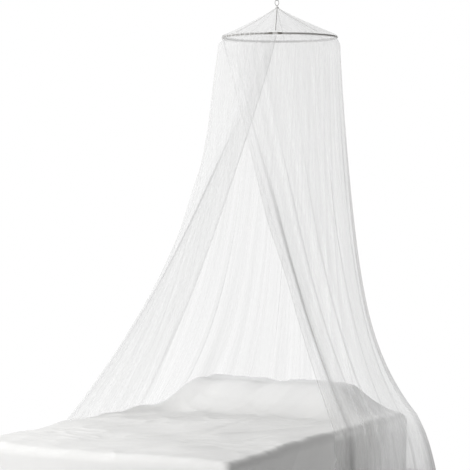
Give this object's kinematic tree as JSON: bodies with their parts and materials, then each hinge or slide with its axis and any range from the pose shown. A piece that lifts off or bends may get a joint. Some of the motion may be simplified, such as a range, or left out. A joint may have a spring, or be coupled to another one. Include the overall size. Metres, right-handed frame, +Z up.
{
  "type": "mosquito net canopy and bed",
  "caption": "Round mosquito net canopy of fine white mesh, hung from a ceiling hook by a ring and hoop, with its open-fronted skirt draped over a made bed.",
  "frame": {"origin": "centre of the top of the ceiling plate, where the hook meets the ceiling", "axes": "+Z up, -Y towards the foot of the bed, +X to the right seen from the foot"},
  "size_m": [1.6713, 2.1701, 2.75],
  "materials": {
    "net": "sheer fine mesh",
    "tape": "matte",
    "dark_metal": "satin",
    "spread": "matte",
    "ticking": "matte",
    "base_cloth": "matte"
  },
  "bodies": {
    "root": {"ceiling_hook": "dark_metal", "hanging_ring": "dark_metal", "apex_cap": "tape", "crown": "net", "seam_tape_1": "tape", "seam_tape_2": "tape", "seam_tape_3": "tape", "seam_tape_4": "tape", "seam_tape_5": "tape", "seam_tape_6": "tape", "seam_tape_7": "tape", "seam_tape_8": "tape", "hoop": "dark_metal", "hoop_joint": "dark_metal", "hoop_sleeve": "net", "skirt": "net", "bed_base": "base_cloth", "mattress": "ticking", "pillow_left": "ticking", "pillow_right": "ticking", "bedspread": "spread"}
  },
  "joints": []
}
